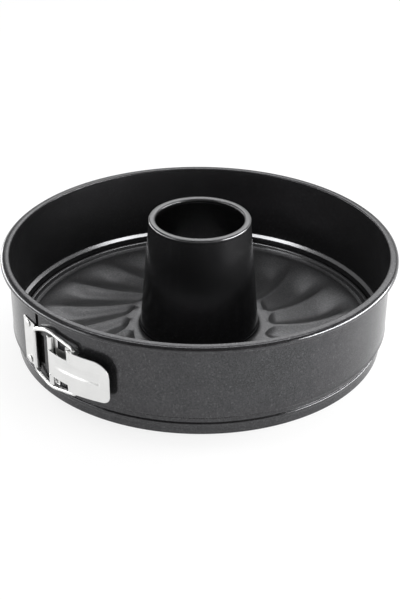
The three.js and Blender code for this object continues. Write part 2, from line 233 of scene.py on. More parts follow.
def coatedSteel(name, look, paintedHighlight=None):
    material, tree = newMaterial(name)
    place = tree.add("ShaderNodeTexCoord").out("Object")
    grain = noise(tree, place, look["grainSize"], 2.0, 0.6)
    mottle = noise(tree, place, look["mottleSize"], 4.0, 0.6)
    cloud = noise(tree, place, look["cloudSize"], 2.0)
    fleck = ((grain - look["fleckFrom"]) * look["fleckSharp"]).between(0.0, 1.0)
    patches = (mottle - 0.5) * look["mottleTone"] + (cloud - 0.5) * look["cloudTone"]
    tone = (0.5 + patches + (grain - 0.5) * look["grainTone"]).between(0.0, 1.0)
    coat = mixed(tree, tone, look["dark"], look["light"])
    gloss = look["roughness"] + (mottle - 0.5) * look["mottleGloss"]
    gloss = gloss + (cloud - 0.5) * look["cloudGloss"] - fleck * look["fleckGloss"]
    # painted highlight: over a band of height and radius, the coat is mixed towards a lighter tone and a
    # smoother gloss
    if paintedHighlight:
        flat = tree.add("ShaderNodeVectorMath", {"operation": "MULTIPLY"}, [place, (1.0, 1.0, 0.0)])
        reach = tree.add("ShaderNodeVectorMath", {"operation": "LENGTH"}, [flat]).out("Value") / mm
        rise = tree.add("ShaderNodeSeparateXYZ", None, [place]).out("Z") / mm
        share = (rise - paintedHighlight["low"]).do("MINIMUM", paintedHighlight["high"] - rise)
        share = share.do("MINIMUM", (reach - paintedHighlight["inner"]).do("MINIMUM", paintedHighlight["outer"] - reach))
        share = (share / paintedHighlight["fade"]).between(0.0, 1.0)
        coat = mixed(tree, share, coat, paintedHighlight["tone"])
        gloss = gloss + share * (paintedHighlight["roughness"] - look["roughness"])
    height = {"Strength": look["grainStrength"], "Distance": look["grainDepth"] * mm, "Height": grain}
    return shaded(material, tree, {
        "Base Color": mixed(tree, fleck * look["fleckShare"], coat, look["fleck"]),
        "Metallic": look["metallic"],
        "Roughness": gloss,
        "Normal": tree.add("ShaderNodeBump", None, height),
    })


def tinnedSteel(name, look):
    material, tree = newMaterial(name)
    place = tree.add("ShaderNodeTexCoord").out("Object")
    stretch = {"Vector": place, "Scale": (1.0, 1.0, look["streakStretch"])}
    along = tree.add("ShaderNodeMapping", None, stretch)
    streak = noise(tree, along, look["streakSize"] * look["streakStretch"], 5.0, 0.65)
    cloud = noise(tree, place, look["cloudSize"], 3.0)
    tone = (cloud * look["cloudTone"] + streak * look["streakTone"] - 0.5).between(0.0, 1.0)
    gloss = look["roughness"] + (streak - 0.5) * look["streakGloss"] + (cloud - 0.5) * look["cloudGloss"]
    height = {"Strength": look["scratchStrength"], "Distance": look["scratchDepth"] * mm, "Height": streak}
    return shaded(material, tree, {
        "Base Color": mixed(tree, tone, look["dark"], look["light"]),
        "Metallic": 1.0,
        "Roughness": gloss,
        "Normal": tree.add("ShaderNodeBump", None, height),
    })


bandCoat = coatedSteel("coatedBand", coatLook, ledgeHighlight)
baseCoat = coatedSteel("coatedBase", baseLook, plateRimHighlight)
tubeCoat = coatedSteel("coatedTube", tubeLook, mouthHighlight)
tinplate = tinnedSteel("tinnedLatch", tinLook)
print("finishes made")


# Mesh building

creaseAngle = 38  # edges sharper than this, in degrees, stay sharp
pressedCrease = 50


def around(radius, angle):  # plan point at an angle from the seam, which faces -Y
    return Vector((radius * math.sin(angle), -radius * math.cos(angle)))


def angleOf(spot):
    return math.atan2(spot[0], -spot[1])


def smoothStep(low, high, value):
    share = min(1.0, max(0.0, (value - low) / (high - low)))
    return share * share * (3 - 2 * share)


def roundedLoop(corners, steps=5):  # corners are (across, up, radius)
    loop = []
    for i, (x, y, radius) in enumerate(corners):
        here = Vector((x, y))
        if not radius:
            loop.append(here)
            continue
        before = (Vector(corners[i - 1][:2]) - here).normalized()
        after = (Vector(corners[(i + 1) % len(corners)][:2]) - here).normalized()
        half = before.angle(after) / 2
        centre = here + (before + after).normalized() * (radius / math.sin(half))
        start = here + before * (radius / math.tan(half)) - centre
        end = here + after * (radius / math.tan(half)) - centre
        loop += [centre + start.slerp(end, k / steps).normalized() * radius for k in range(steps + 1)]
    return loop


def corner(distance, radius):  # how far a rounded corner draws in, at a distance from the end
    if distance >= radius:
        return 0.0
    return radius - math.sqrt(max(0.0, radius**2 - (radius - distance) ** 2))


def bowed(start, aim, end, steps):  # leaves the start towards the aim and reaches the end from it
    shares = [i / steps for i in range(steps + 1)]
    return [start * (1 - t) ** 2 + aim * (2 * t * (1 - t)) + end * t**2 for t in shares]


def bentCorner(before, middle, after, bend, steps):  # a smooth bend in place of a sharp corner
    start = middle + (before - middle).normalized() * bend
    end = middle + (after - middle).normalized() * bend
    return bowed(start, middle, end, steps)


def ringAbout(centre, radius, turns):
    return [centre + Vector((math.cos(turn), math.sin(turn))) * radius for turn in turns]


def meshObject(name, points, faces, material):
    mesh = bpy.data.meshes.new(name)
    mesh.from_pydata([tuple(point) for point in np.asarray(points, float) * mm], [], faces)
    mesh.validate()
    mesh.materials.append(material)
    faceOutwards(mesh)
    mesh.shade_smooth()
    mesh.set_sharp_from_angle(angle=math.radians(creaseAngle))
    made = bpy.data.objects.new(name, mesh)
    scene.collection.objects.link(made)
    return made


def faceOutwards(mesh):
    mesh.calc_loop_triangles()
    place = np.array([vertex.co for vertex in mesh.vertices])
    corners = place[np.array([triangle.vertices for triangle in mesh.loop_triangles])]
    volume = np.einsum("ij,ij->i", corners[:, 0], np.cross(corners[:, 1], corners[:, 2])).sum()
    if volume < 0:
        mesh.flip_normals()


def lofted(sections, closed):  # sections are closed loops with the same number of points
    count, size = len(sections), len(sections[0])
    faces = []
    for i in range(count if closed else count - 1):
        here, following = i * size, (i + 1) % count * size
        for j in range(size):
            k = (j + 1) % size
            faces.append((here + j, here + k, following + k, following + j))
    if not closed:
        faces.append(tuple(reversed(range(size))))
        faces.append(tuple((count - 1) * size + j for j in range(size)))
    return [point for section in sections for point in section], faces


def welded(points, faces):  # points at one place become one, and faces that fold flat are dropped
    places, index, kept = {}, [], []
    for point in points:
        spot = tuple(round(value, 6) + 0.0 for value in point)
        index.append(places.setdefault(spot, len(places)))
    for face in faces:
        ring = [index[v] for v in face]
        ring = [v for i, v in enumerate(ring) if v != ring[i - 1]]
        if len(ring) > 2:
            kept.append(ring)
    return list(places), kept


def turned(name, profile, columns, material):
    turns = [2 * math.pi * i / columns for i in range(columns)]
    sections = [[(*around(radius, turn), height) for radius, height in profile] for turn in turns]
    return meshObject(name, *welded(*lofted(sections, True)), material)


def joinedPiece(name, parts):
    meshes = [part.data for part in parts]
    points, faces, offset = [], [], 0
    for mesh in meshes:
        points += [vertex.co / mm for vertex in mesh.vertices]
        faces += [tuple(offset + v for v in polygon.vertices) for polygon in mesh.polygons]
        offset = len(points)
    material = meshes[0].materials[0]
    for part in parts:
        bpy.data.objects.remove(part)
    return meshObject(name, points, faces, material)


def sheetSolid(name, path, spans, look, material, rows, press=None):
    # a strip of sheet that follows a plan path, with a low and a high edge at each point
    half, edge = look["sheet"] / 2, look["edge"]
    last = len(path) - 1
    sections = []
    for i, (spot, (low, high)) in enumerate(zip(path, spans)):
        heading = (path[min(i + 1, last)] - path[max(i - 1, 0)]).normalized()
        outward = Vector((heading.y, -heading.x))
        thin = half - edge if i in (0, last) else half
        heights = [low + edge + (high - low - 2 * edge) * j / rows for j in range(rows + 1)]
        ring = [(thin, height) for height in heights]
        ring += [(thin - edge, high), (edge - thin, high)]
        ring += [(-thin, height) for height in reversed(heights)]
        ring += [(edge - thin, low), (thin - edge, low)]
        section = []
        for offset, height in ring:
            pushed = offset + (press(spot, height) if press else 0.0)
            section.append((*(spot + outward * pushed), height))
        sections.append(section)
    return meshObject(name, *lofted(sections, False), material)


def geometryTree(name, inputs):
    group = bpy.data.node_groups.new(name, "GeometryNodeTree")
    for label, kind in inputs.items():
        group.interface.new_socket(label, in_out="INPUT", socket_type="NodeSocket" + kind)
    group.interface.new_socket("Geometry", in_out="OUTPUT", socket_type="NodeSocketGeometry")
    tree = Tree(group)
    given = group.nodes.new("NodeGroupInput")
    return tree, {label: Term(tree, given.outputs[label]) for label in inputs}


def grown(name, tree, values):  # runs the node tree and keeps its result as a plain mesh
    holder = bpy.data.objects.new(name + "Holder", bpy.data.meshes.new(name + "Holder"))
    scene.collection.objects.link(holder)
    modifier = holder.modifiers.new(name, "NODES")
    modifier.node_group = tree.nodeTree
    for item in tree.nodeTree.interface.items_tree:
        if item.in_out == "INPUT":
            modifier[item.identifier] = values[item.name]
    evaluated = holder.evaluated_get(bpy.context.evaluated_depsgraph_get())
    mesh = bpy.data.meshes.new_from_object(evaluated)
    faceOutwards(mesh)
    made = bpy.data.objects.new(name, mesh)
    scene.collection.objects.link(made)
    for value in [holder, *values.values()]:
        if isinstance(value, bpy.types.Object):
            bpy.data.objects.remove(value)
    return made


def finishTree(tree, geometry, material):
    tree.add("NodeGroupOutput", None, {
        "Geometry": tree.add("GeometryNodeSetMaterial", None, {
            "Geometry": tree.add("GeometryNodeRealizeInstances", None, {"Geometry": geometry}),
            "Material": material,
        }),
    })


def settle(piece, body, slot, *nodes):
    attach(piece, body)
    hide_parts(*nodes)
    print("piece made:", piece.name, len(piece.data.polygons), "faces")


# Places the frame gives

hinge = Vector(joints["lever_swing"]["pos_m"][:2]) / mm
ear = Vector(joints["bail_swing"]["pos_m"][:2]) / mm
latchMiddle = joints["lever_swing"]["pos_m"][2] / mm
bandLow, bandHigh = nodeBox("side_band")
plateLow, plateHigh = nodeBox("base_plate")
tubeLow, tubeHigh = nodeBox("centre_tube")
leverLow, leverHigh = nodeBox("lever")
pinLow, pinHigh = nodeBox("hinge_pin")


# Side band

band = {
    "sheet": 0.7,
    "edge": 0.14,
    "columns": 360,
    "rimWidth": 6.0,
    "rimDepth": 4.2,
    "rimRound": 2.8,
    "rimUnderRound": 1.2,
    "ledgeHeight": 15.9,
    "ledgeWidth": 2.6,
    "ledgeDrop": 1.96,
    "ledgeSheet": 1.2,
    "neckTop": 11.8,
    "neckDrop": 3.4,
    "neckBottom": 8.8,
    "skirtDrop": 3.3,
    "skirtTop": 8.1,
    "beadFoot": 5.4,
    "skirtFlare": 0.5,
    "lipProud": 0.3,
    "lipHeight": 0.7,
    "beadProud": 0.9,
    "beadRise": 0.7,
    "hemReach": 3.8,
    "neckShoulder": 0.8,
    "cutEdge": 0.02,
    "slitWidth": 3.4,
    "slitNotch": 5.2,
    "notchLow": -9.5,
    "notchHigh": 11.5,
    "rimSlit": 0.1,
    "slitTop": 61.0,
    "footSlit": 0.35,
    "footTop": 18.5,
    "tongueGap": 0.3,
    "tongueLap": 6.4,
    "tongueRoot": 12.0,
    "tongueSteps": 40,
    "tongueRows": 4,
}
rimRadius = min(bandHigh.x, bandHigh.y, -bandLow.x, -bandLow.y)
wallInside = rimRadius - band["rimWidth"]
wallRadius = wallInside + band["sheet"]


def bandOutline():  # from the hem out and up to the rim, then down the inside
    sheet, top = band["sheet"], bandHigh.z
    under = top - band["rimDepth"]
    neck = wallRadius - band["neckDrop"]
    skirt = wallRadius - band["skirtDrop"]
    bead = skirt + band["beadProud"]
    ledge, edge = band["ledgeHeight"], band["cutEdge"]
    cuts = [band["footTop"] - edge, latchMiddle + band["notchLow"],
            latchMiddle + band["notchHigh"], band["slitTop"] - edge]  # the slit's width steps at these
    heights = [height for cut in cuts for height in (cut, cut + edge)]
    return roundedLoop([
        (skirt - band["hemReach"], 0, 0.3),
        (skirt + band["skirtFlare"], 0, 0.7),
        (skirt, band["beadFoot"], 1.2),
        (bead, band["beadFoot"] + band["beadRise"], 0.4),
        (bead, band["skirtTop"], 1.0),
        (neck, band["neckBottom"], 0.3),
        (neck, band["neckTop"], 0.7),
        (wallRadius + band["lipProud"], ledge - band["ledgeSheet"], 0.6),
        (wallRadius, ledge + band["lipHeight"], 0.8),
        *[(wallRadius, height, 0) for height in heights],
        (wallRadius, under, 0.5),
        (rimRadius, under, band["rimUnderRound"]),
        (rimRadius, top, band["rimRound"]),
        (wallInside, top, 1.0),
        *[(wallInside, height, 0) for height in reversed(heights)],
        (wallInside, ledge, 0.8),
        (wallInside - band["ledgeWidth"], ledge - band["ledgeDrop"], 0.5),
        (neck - sheet, band["neckTop"] - band["neckShoulder"], 0.6),
        (neck - sheet, band["neckBottom"] - sheet / 2, 0.8),
        (skirt - sheet, band["beadFoot"] + sheet, 0.8),
        (skirt - sheet, sheet, sheet / 2),
        (skirt - band["hemReach"], sheet, 0.3),
    ], 6)


def sideBand():
    outline = bandOutline()
    columns = band["columns"]
    fullTurn = 2 * math.pi

    def opening(height):  # half the slit, and how much further it is cut back beside the latch
        past = height - band["cutEdge"] / 2  # between the two points of each step
        if past < band["footTop"] - band["cutEdge"]:
            return band["footSlit"] / 2, 0.0
        if past > band["slitTop"] - band["cutEdge"]:
            return band["rimSlit"] / 2, 0.0
        beside = band["notchLow"] < past - latchMiddle < band["notchHigh"]
        return band["slitWidth"] / 2, band["slitNotch"] if beside else 0.0

    sections = []
    for i in range(columns + 1):
        section = []
        for radius, height in outline:
            half, notch = opening(height)
            start, end = (half + notch) / radius, fullTurn - half / radius
            section.append((*around(radius, start + (end - start) * i / columns), height))
        sections.append(section)
    return meshObject("bandStrip", *lofted(sections, False), bandCoat)


def seamTongue():
    middle = wallInside - band["tongueGap"] - band["sheet"] / 2
    start = -(band["slitWidth"] / 2 + band["tongueLap"]) / wallInside
    end = (band["slitWidth"] / 2 + band["tongueRoot"]) / wallInside
    steps, rows = band["tongueSteps"], band["tongueRows"]
    path = [around(middle, start + (end - start) * i / steps) for i in range(steps + 1)]
    low = band["ledgeHeight"] + 2 * band["sheet"]
    return sheetSolid("seamTongue", path, [(low, band["slitTop"])] * len(path), band, bandCoat, rows)


# Latch plates: a hooked catch and a hinged bracket

latch = {
    "sheet": 0.7,
    "edge": 0.14,
    "rows": 14,
    "seatGap": 0.3,
    "halfHeight": 17.75,
    "catchWidth": 17.4,
    "catchHalfHeight": 16.3,
    "hookHalfHeight": 13.4,
    "hookLip": 30,
    "hookInside": 1.5,
    "hookFromSeam": -0.25,
    "hookCut": 2.0,
    "hookSteps": 24,
    "catchSteps": 60,
    "knuckleRadius": 1.75,
    "knuckleWrap": 300,
    "knuckleSteps": 36,
    "upperKnuckleRows": 6,
    "lowerKnuckleRows": 4,
    "upperKnuckleFrom": 8.5,
    "lowerKnuckleFrom": -10.2,
    "bracketReach": 20.0,
    "bracketHalfHeight": 13.8,
    "bracketWaist": 9.6,
    "waistEnd": 12.0,
    "waistEase": 1.2,
    "bracketShoulder": 5.0,
    "shoulderSteps": 12,
    "leafSteps": 30,
    "leafInset": 0.04,
    "leverGap": 2.4,
    "cornerRound": 1.6,
}
plateMiddle = wallRadius + latch["seatGap"] + latch["sheet"] / 2
hingeAngle = angleOf(hinge)
hookAngle = math.asin(latch["hookFromSeam"] / wallRadius)
catchEdge = hookAngle - latch["catchWidth"] / wallRadius


def wallPath(start, end, steps):
    return [around(plateMiddle, start + (end - start) * i / steps) for i in range(steps + 1)]


def catchPlate():
    centre = around(plateMiddle + latch["sheet"] / 2 + latch["hookInside"], hookAngle)
    curl = latch["hookInside"] + latch["sheet"] / 2
    start, finish = hookAngle + math.pi / 2, hookAngle - math.radians(latch["hookLip"])
    steps = latch["hookSteps"]
    turns = [start + (finish - start) * i / steps for i in range(1, steps + 1)]
    strip = wallPath(catchEdge, hookAngle, latch["catchSteps"])
    path = strip + ringAbout(centre, curl, turns)
    cutFrom = hookAngle - latch["hookCut"] / wallRadius
    spans = []
    for i, spot in enumerate(path):
        fromEdge = (angleOf(spot) - catchEdge) * wallRadius
        inHook = i >= len(strip) or angleOf(spot) > cutFrom
        half = latch["catchHalfHeight"] - corner(fromEdge, latch["cornerRound"])
        half = latch["hookHalfHeight"] if inHook else half
        spans.append((latchMiddle - half, latchMiddle + half))
    return sheetSolid("catchPlate", path, spans, latch, tinplate, latch["rows"])


def knuckleCurl(end, sense):  # the rolled part of a leaf, round the hinge pin
    wrap, steps = math.radians(latch["knuckleWrap"]), latch["knuckleSteps"]
    turns = [end - sense * wrap * (1 - i / steps) for i in range(steps + 1)]
    return ringAbout(hinge, latch["knuckleRadius"], turns)


def leverBracket():
    shoulderEnd = hingeAngle + latch["bracketShoulder"] / wallRadius
    shoulder = wallPath(hingeAngle, shoulderEnd, latch["shoulderSteps"])
    tabPath = knuckleCurl(hingeAngle + math.pi / 2, -1) + shoulder[1:]
    begin, reach, steps = latch["leverGap"], latch["bracketReach"], latch["leafSteps"]
    leafPath = wallPath(hingeAngle + begin / wallRadius, hingeAngle + reach / wallRadius, steps)
    upper = (latchMiddle + latch["upperKnuckleFrom"], latchMiddle + latch["halfHeight"])
    lower = (latchMiddle - latch["halfHeight"], latchMiddle + latch["lowerKnuckleFrom"])
    full, waist, waistEnd = latch["bracketHalfHeight"], latch["bracketWaist"], latch["waistEnd"]
    leafSpans = []
    for i in range(steps + 1):
        past = smoothStep(waistEnd - latch["waistEase"], waistEnd, begin + (reach - begin) * i / steps)
        leafSpans.append((latchMiddle - full, latchMiddle + waist + (full - waist) * past))
    leafLook = {**latch, "sheet": latch["sheet"] - latch["leafInset"]}  # no two faces share a plane
    return joinedPiece("leverBracket", [
        sheetSolid("upperTab", tabPath, [upper] * len(tabPath), latch, tinplate, latch["upperKnuckleRows"]),
        sheetSolid("lowerTab", tabPath, [lower] * len(tabPath), latch, tinplate, latch["lowerKnuckleRows"]),
        sheetSolid("leaf", leafPath, leafSpans, leafLook, tinplate, latch["rows"]),
    ])


# Lever: a bowed plate rolled round the pin, with two ears for the bail

lever = {
    "sheet": 0.7,
    "edge": 0.16,
    "steps": 150,
    "straight": 22.0,
    "reach": 49.4,
    "tipStandOff": 5.4,
    "taper": 1.6,
    "shoulder": 18.0,
    "shoulderRound": 1.2,
    "upperCorner": 10.0,
    "lowerCorner": 4.6,
    "tongueGap": 0.3,
    "panelStart": 9.0,
    "panelInset": 5.0,
    "panelTop": 7.5,
    "panelBottom": -2.6,
    "panelDepth": 0.7,
    "panelFootEase": 2.3,
    "panelHeadEase": 6.0,
    "panelStartEase": 6.0,
    "panelTipEase": 2.0,
    "earHalfWidth": 4.2,
    "earDrop": 4.4,
    "earHole": 1.5,
    "earRoot": 0.2,
    "earNearShare": 0.4,
    "earFarShare": 0.75,
    "lobeDrop": 2.3,
    "lobeHalf": 2.2,
    "earRim": 0.3,
    "earSpokes": 48,
    "rows": 48,
}


def bowPoints():
    root = hinge + Vector((0, -latch["knuckleRadius"]))
    aim = root + Vector((lever["straight"], 0))
    tipRadius = wallRadius + lever["tipStandOff"]
    tip = around(tipRadius, hingeAngle + lever["reach"] / tipRadius)
    return bowed(root, aim, tip, lever["steps"])


def leverPlate():
    bow = bowPoints()
    tipX = bow[-1].x
    shoulderX = hinge.x + lever["shoulder"]
    path = knuckleCurl(-math.pi / 2, 1) + bow[1:]
    half = (leverHigh.z - leverLow.z) / 2
    tongueTop = latch["upperKnuckleFrom"] - lever["tongueGap"]
    tongueBottom = latch["lowerKnuckleFrom"] + lever["tongueGap"]
    spans = []
    for spot in path:
        toTip = tipX - spot.x
        fromShoulder = spot.x - shoulderX
        if fromShoulder < 0:
            spans.append((latchMiddle + tongueBottom, latchMiddle + tongueTop))
            continue
        lead = corner(fromShoulder, lever["shoulderRound"])
        top = half - max(corner(toTip, lever["upperCorner"]), lead)
        lift = lever["taper"] * fromShoulder / (tipX - shoulderX)
        bottom = -half + lift + max(corner(toTip, lever["lowerCorner"]), lead)
        spans.append((latchMiddle + bottom, latchMiddle + top))

    def press(spot, height):  # how far the pressed panel stands back
        fromMiddle = height - latchMiddle
        foot, head = lever["panelBottom"], lever["panelTop"]
        start, end = hinge.x + lever["panelStart"], tipX - lever["panelInset"]
        across = smoothStep(foot, foot + lever["panelFootEase"], fromMiddle)
        across *= 1 - smoothStep(head - lever["panelHeadEase"], head, fromMiddle)
        along = smoothStep(start - lever["panelStartEase"], start + lever["panelStartEase"], spot.x)
        along *= 1 - smoothStep(end - lever["panelTipEase"], end, spot.x)
        return -lever["panelDepth"] * across * along

    return sheetSolid("leverPlate", path, spans, lever, tinplate, lever["rows"], press)


def leverEar(name, low, high):  # a lobe folded in at the lever's edge, with the bail's hole
    bow = bowPoints()
    closest = min(range(len(bow)), key=lambda i: (bow[i] - ear).length)
    heading = (bow[closest + 2] - bow[closest - 2]).normalized()
    inward = Vector((-heading.y, heading.x))
    near = [spot for spot in bow if abs((spot - ear).dot(heading)) < lever["earHalfWidth"]]
    reach = lever["earDrop"] + lever["sheet"] / 2
    lobe, lobeHalf = ear + inward * lever["lobeDrop"], heading * lever["lobeHalf"]
    root = inward * lever["earRoot"]
    outline = near + [
        near[-1] + root, near[-1] + inward * reach * lever["earFarShare"], lobe + lobeHalf,
        lobe - lobeHalf, near[0] + inward * reach * lever["earNearShare"], near[0] + root,
    ]
    hole, edge = lever["earHole"], lever["edge"]
    sections = []
    for i in range(lever["earSpokes"]):
        turn = 2 * math.pi * i / lever["earSpokes"]
        ray = Vector((math.cos(turn), math.sin(turn)))
        inner = ear + ray * hole
        outer = ear + ray * max(hole + lever["earRim"], rayReach(ear, ray, outline))
        eased = outer - ray * edge
        sections.append([
            (*inner, low), (*eased, low), (*outer, low + edge),
            (*outer, high - edge), (*eased, high), (*inner, high),
        ])
    return meshObject(name, *lofted(sections, True), tinplate)


def rayReach(centre, ray, outline):  # the farthest crossing of a ray with an outline
    best = 0.0
    for first, second in zip(outline, outline[1:] + outline[:1]):
        side = second - first
        cross = ray.x * side.y - ray.y * side.x
        if abs(cross) < 1e-9:
            continue
        gap = first - centre
        distance = (gap.x * side.y - gap.y * side.x) / cross
        share = (gap.x * ray.y - gap.y * ray.x) / cross
        if distance > 0 and 0 <= share <= 1:
            best = max(best, distance)
    return best


# Wire bail: a wire that follows a bent path

bail = {
    "wireRadius": 1.35,
    "runFromSeam": -0.55,
    "runHalf": 15.0,
    "archHalf": 21.0,
    "archStandOff": 2.2,
    "earGap": 0.3,
    "end": 3.6,
    "bend": 5.0,
    "archFromHinge": -2.3,
    "earBend": 2.0,
    "bendSteps": 12,
    "sides": 20,
}


def bailPath():
    clear = bail["earGap"] + bail["wireRadius"]
    earHeight = (leverHigh.z - leverLow.z) / 2 + clear
    runRadius = plateMiddle + latch["sheet"] / 2 + clear
    run = around(runRadius, math.asin(bail["runFromSeam"] / wallRadius))
    arch = around(wallRadius + bail["archStandOff"], hingeAngle + bail["archFromHinge"] / wallRadius)
    upper = [
        (ear, earHeight - bail["end"]), (ear, earHeight), (arch, bail["archHalf"]), (run, bail["runHalf"]),
    ]
    places = upper + [(spot, -rise) for spot, rise in reversed(upper)]
    corners = [Vector((*spot, latchMiddle + rise)) for spot, rise in places]
    path = [corners[0]]
    for i in range(1, len(corners) - 1):
        bend = bail["earBend"] if i in (1, len(corners) - 2) else bail["bend"]
        path += bentCorner(*corners[i - 1:i + 2], bend, bail["bendSteps"])
    return path + [corners[-1]]


def wireBail():
    path = bailPath()
    data = bpy.data.curves.new("bailPath", "CURVE")
    data.dimensions = "3D"
    spline = data.splines.new("POLY")
    spline.points.add(len(path) - 1)
    for point, spot in zip(spline.points, path):
        point.co = (*(spot * mm), 1)
    route = bpy.data.objects.new("bailPath", data)
    scene.collection.objects.link(route)
    tree, given = geometryTree("drawnWire", {
        "Route": "Object", "Radius": "Float", "Sides": "Int", "Material": "Material",
    })
    section = tree.add("GeometryNodeCurvePrimitiveCircle", None, {
        "Resolution": given["Sides"], "Radius": given["Radius"],
    })
    drawn = tree.add("GeometryNodeCurveToMesh", None, {
        "Curve": tree.add("GeometryNodeObjectInfo", None, {"Object": given["Route"]}).out("Geometry"),
        "Profile Curve": section,
        "Fill Caps": True,
    })
    smooth = tree.add("GeometryNodeSetShadeSmooth", None, {"Geometry": drawn, "Shade Smooth": True})
    finishTree(tree, smooth, given["Material"])
    made = grown("wireBail", tree, {
        "Route": route, "Radius": bail["wireRadius"] * mm, "Sides": bail["sides"], "Material": tinplate,
    })
    made.data.set_sharp_from_angle(angle=math.radians(pressedCrease))
    return made


# Rivets: one turned rivet set at each hole

rivet = {
    "shank": 1.5,
    "head": 2.7,
    "headHeight": 0.9,
    "backHeight": 0.7,
    "seat": 0.3,
    "headRim": 0.15,
    "rimEase": 0.1,
    "backEase": 0.4,
    "backRim": 0.2,
    "crownSteps": 8,
    "columns": 32,
    "catchFromEdge": 7.0,
    "catchSpread": 13.5,
    "bracketFromHinge": 15.0,
    "bracketSpread": 9.0,
}


def turnedRivet():  # its axis is Z, with the wall's outside at zero
    outside = latch["seatGap"] + latch["sheet"] + rivet["seat"]
    inside = -band["sheet"] - rivet["seat"]
    back = inside - rivet["backHeight"]
    head, shank, dome, flatRim = rivet["head"], rivet["shank"], rivet["headHeight"], rivet["headRim"]
    turns = [math.pi / 2 * i / rivet["crownSteps"] for i in range(rivet["crownSteps"])]
    crown = [(head * math.cos(t), outside + dome * (flatRim + (1 - flatRim) * math.sin(t))) for t in turns]
    profile = [
        (0, back), (head - rivet["backEase"], back), (head, inside - rivet["backRim"]),
        (head - rivet["rimEase"], inside), (shank, inside), (shank, outside),
        (head - rivet["rimEase"], outside), *crown, (0, outside + dome),
    ]
    return turned("turnedRivet", profile, rivet["columns"], tinplate)


def rivets():
    catchAngle = catchEdge + rivet["catchFromEdge"] / wallRadius
    bracketAngle = hingeAngle + rivet["bracketFromHinge"] / wallRadius
    spots = [
        (*around(wallRadius, angle), latchMiddle + sense * spread)
        for angle, spread in [(catchAngle, rivet["catchSpread"]), (bracketAngle, rivet["bracketSpread"])]
        for sense in (1, -1)
    ]
    holes = bpy.data.meshes.new("rivetHoles")
    holes.from_pydata([Vector(spot) * mm for spot in spots], [], [])
    marks = bpy.data.objects.new("rivetHoles", holes)
    scene.collection.objects.link(marks)
    tree, given = geometryTree("setRivets", {
        "Holes": "Object", "Rivet": "Object", "Material": "Material",
    })
    place = tree.add("GeometryNodeInputPosition")
    outward = tree.add("ShaderNodeVectorMath", {"operation": "MULTIPLY"}, [place, (1.0, 1.0, 0.0)])
    turn = tree.add("FunctionNodeAlignRotationToVector", {"axis": "Z"}, {"Vector": outward})
    setRivets = tree.add("GeometryNodeInstanceOnPoints", None, {
        "Points": tree.add("GeometryNodeObjectInfo", None, {"Object": given["Holes"]}).out("Geometry"),
        "Instance": tree.add("GeometryNodeObjectInfo", None, {"Object": given["Rivet"]}).out("Geometry"),
        "Rotation": turn,
    })
    finishTree(tree, setRivets, given["Material"])
    return grown("rivets", tree, {"Holes": marks, "Rivet": turnedRivet(), "Material": tinplate})


# Base plate: a spun profile whose columns are drawn aside and down along each swirl flute

plate = {
    "sheet": 0.7,
    "landHeight": 7.9,
    "rimRise": 3.0,
    "rimLand": 121.2,
    "rimSlope": 1.4,
    "hemBottom": 1.0,
    "holeRadius": 42.2,
    "holeEase": 0.2,
    "innerRing": 46.0,
    "fluteCount": 18,
    "fluteStart": 49.0,
    "fluteEnd": 117.5,
    "noseLength": 7.0,
    "tailLength": 30.0,
    "fluteShare": 0.95,
    "troughDepth": 3.4,
    "troughShape": 1.5,
    "scoopSlope": 0.52,
    "scoopLean": -0.2,
    "bankCurve": 1.6,
    "fluteSweep": 20.0,
    "fluteBend": 0.6,
    "flutePhase": 12.6,
    "fluteRings": 56,
    "fluteStations": 16,
    "landStations": 8,
    "weldGap": 0.002,
}


def plateProfile():
    sheet, land = plate["sheet"], plate["landHeight"]
    rimHeight = land + plate["rimRise"]
    outer = min(plateHigh.x, plateHigh.y, -plateLow.x, -plateLow.y)
    rimStart = plate["rimLand"] + plate["rimSlope"]
    start, end, rings = plate["fluteStart"], plate["fluteEnd"], plate["fluteRings"]
    shares = [(1 - math.cos(math.pi * i / rings)) / 2 for i in range(rings + 1)]  # closer at both ends
    fluted = [start + (end - start) * share for share in shares]
    edge = roundedLoop([
        (plate["rimLand"], land, 0.8),
        (rimStart, rimHeight, 1.3),
        (outer, rimHeight, 0.7),
        (outer, plate["hemBottom"], 0.2),
        (outer - sheet, plate["hemBottom"], 0.2),
        (outer - sheet, rimHeight - sheet, 0.4),
        (rimStart + sheet / 2, rimHeight - sheet, 0.6),
        (plate["rimLand"] + sheet / 2, land - sheet, 0.8),
    ], 4)
    hole, ease, inner = plate["holeRadius"], plate["holeEase"], plate["innerRing"]
    top = [(radius, land) for radius in [hole + ease, inner, *fluted]]
    under = [(radius, land - sheet) for radius in [*reversed(fluted), inner, hole]]
    loop = top + [tuple(spot) for spot in edge] + under + [(hole, land - ease)]
    return loop + loop[:1]


